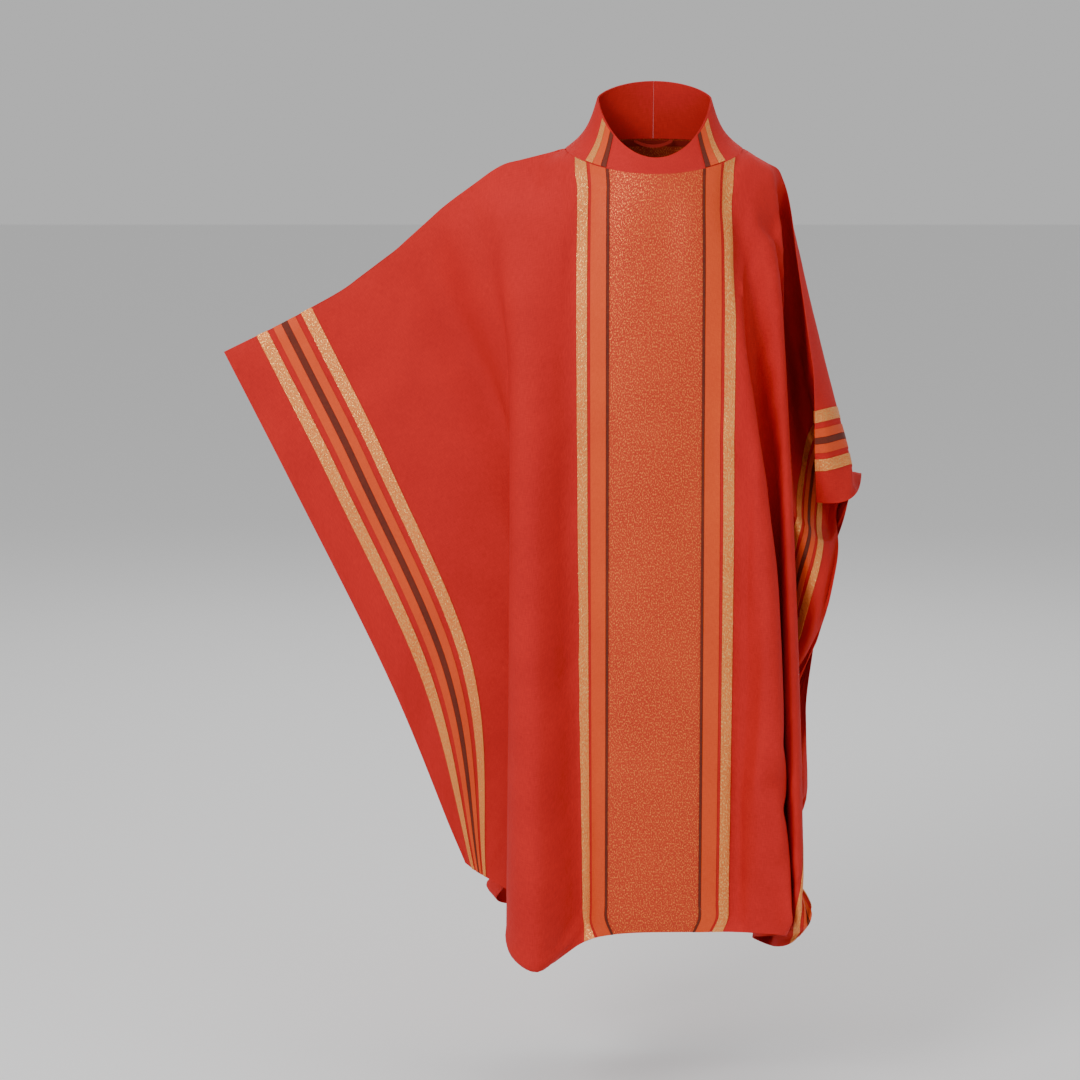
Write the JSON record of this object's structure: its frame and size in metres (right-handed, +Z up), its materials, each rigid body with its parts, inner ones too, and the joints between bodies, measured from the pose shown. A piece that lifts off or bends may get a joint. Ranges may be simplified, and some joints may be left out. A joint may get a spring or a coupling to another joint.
{
  "type": "chasuble",
  "caption": "Full red chasuble with an orange front pillar, gold and orange ribbons, a standing collar and side bands, draped with one side lifted.",
  "frame": {"origin": "middle of the neckline, level with the neck ends of the two shoulder seams", "axes": "+Z up out of the neckline, -Y to the front, +X to the wearer's left"},
  "size_m": [0.9805, 0.4244, 1.3847],
  "materials": {
    "red_cloth": "plain weave wool and polyester, matt with a soft sheen",
    "pillar_cloth": "red and orange weave with metallic yarn, glittering",
    "gold_braid": "woven metallic yarn",
    "orange_ribbon": "smooth ribbed weave",
    "brown_ribbon": "dark woven ribbon",
    "tape": "cotton twill tape",
    "interlining": "stiff woven interlining",
    "label": "blank woven label"
  },
  "bodies": {
    "vestment": {"back_band_brown_ribbon": "brown_ribbon", "back_band_gold_ribbons": "gold_braid", "back_band_orange_ribbons": "orange_ribbon", "back_brown_piping_left": "brown_ribbon", "back_brown_piping_right": "brown_ribbon", "back_gold_braid_left": "gold_braid", "back_gold_braid_right": "gold_braid", "back_orange_ribbon_left": "orange_ribbon", "back_orange_ribbon_right": "orange_ribbon", "back_panel_left": "red_cloth", "back_panel_right": "red_cloth", "back_pillar": "pillar_cloth", "back_wing_fold": "red_cloth", "blank_label": "label", "collar_brown_stripes": "brown_ribbon", "collar_facing": "red_cloth", "collar_gold_stripes": "gold_braid", "collar_interlining": "interlining", "collar_orange_stripes": "orange_ribbon", "collar_outer": "red_cloth", "front_band_brown_ribbon": "brown_ribbon", "front_band_gold_ribbons": "gold_braid", "front_band_orange_ribbons": "orange_ribbon", "front_brown_piping_left": "brown_ribbon", "front_brown_piping_right": "brown_ribbon", "front_gold_braid_left": "gold_braid", "front_gold_braid_right": "gold_braid", "front_orange_ribbon_left": "orange_ribbon", "front_orange_ribbon_right": "orange_ribbon", "front_panel_left": "red_cloth", "front_panel_right": "red_cloth", "front_pillar": "pillar_cloth", "front_wing_fold": "red_cloth", "hanger_loop": "tape", "neck_tape": "tape", "shoulder_tape_left": "tape", "shoulder_tape_right": "tape"},
    "raised_wing": {"back_wing": "red_cloth", "back_wing_brown_ribbon": "brown_ribbon", "back_wing_gold_ribbons": "gold_braid", "back_wing_orange_ribbons": "orange_ribbon", "front_wing": "red_cloth", "front_wing_brown_ribbon": "brown_ribbon", "front_wing_gold_ribbons": "gold_braid", "front_wing_orange_ribbons": "orange_ribbon", "wing_shoulder_tape": "tape"}
  },
  "joints": [
    {"name": "wing_swing", "type": "hinge", "parent": "vestment", "child": "raised_wing", "pos_m": [-0.26, 0, 0], "axis": [0, 0, 1], "range_deg": [-12, 18], "deforming": ["front_wing_fold", "back_wing_fold"]}
  ]
}
